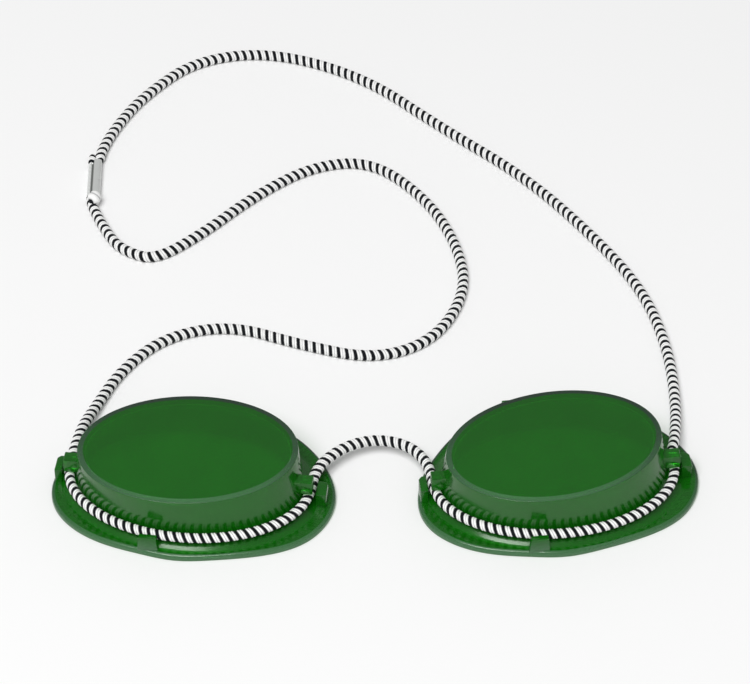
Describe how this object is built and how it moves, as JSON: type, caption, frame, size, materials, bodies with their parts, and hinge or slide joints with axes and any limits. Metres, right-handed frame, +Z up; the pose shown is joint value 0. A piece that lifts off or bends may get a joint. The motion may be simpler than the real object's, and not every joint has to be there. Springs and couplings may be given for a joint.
{
  "type": "tanning goggles",
  "caption": "Clear green eye cups threaded on a black and white elastic cord, closed by a crimped metal sleeve, to cover the closed eyes while lying down.",
  "frame": {"origin": "on the table, under the middle of the box round the two eye cups", "axes": "+X to the wearer's side along the pair of cups, +Y to the back, towards the crimped end of the strap, +Z up, out of the lenses"},
  "size_m": [0.1338, 0.1577, 0.0128],
  "materials": {
    "clear_green": "clear polished acrylic",
    "cord": "wrapped yarn, white with a black spiral",
    "crimp": "plain, crimped"
  },
  "bodies": {
    "strap": {"bridge_cord": "cord", "left_strap_cord": "cord", "right_strap_cord": "cord", "crimp_sleeve": "crimp", "lower_cord_tail": "cord", "upper_cord_tail": "cord"},
    "left_cup": {"left_eye_cup": "clear_green", "left_channel_cord": "cord"},
    "right_cup": {"right_eye_cup": "clear_green", "right_channel_cord": "cord"}
  },
  "joints": [
    {"name": "bridge_fold", "type": "hinge", "parent": "strap", "child": "left_cup", "pos_m": [0.0004, 0, 0.0045], "axis": [0, 1, 0], "range_deg": [-90, 110], "deforming": ["left_strap_cord", "bridge_cord"]},
    {"name": "nose_gap", "type": "slide", "parent": "strap", "child": "right_cup", "axis": [1, 0, 0], "range_m": [-0.006, 0.008], "deforming": ["right_strap_cord", "bridge_cord"]}
  ]
}
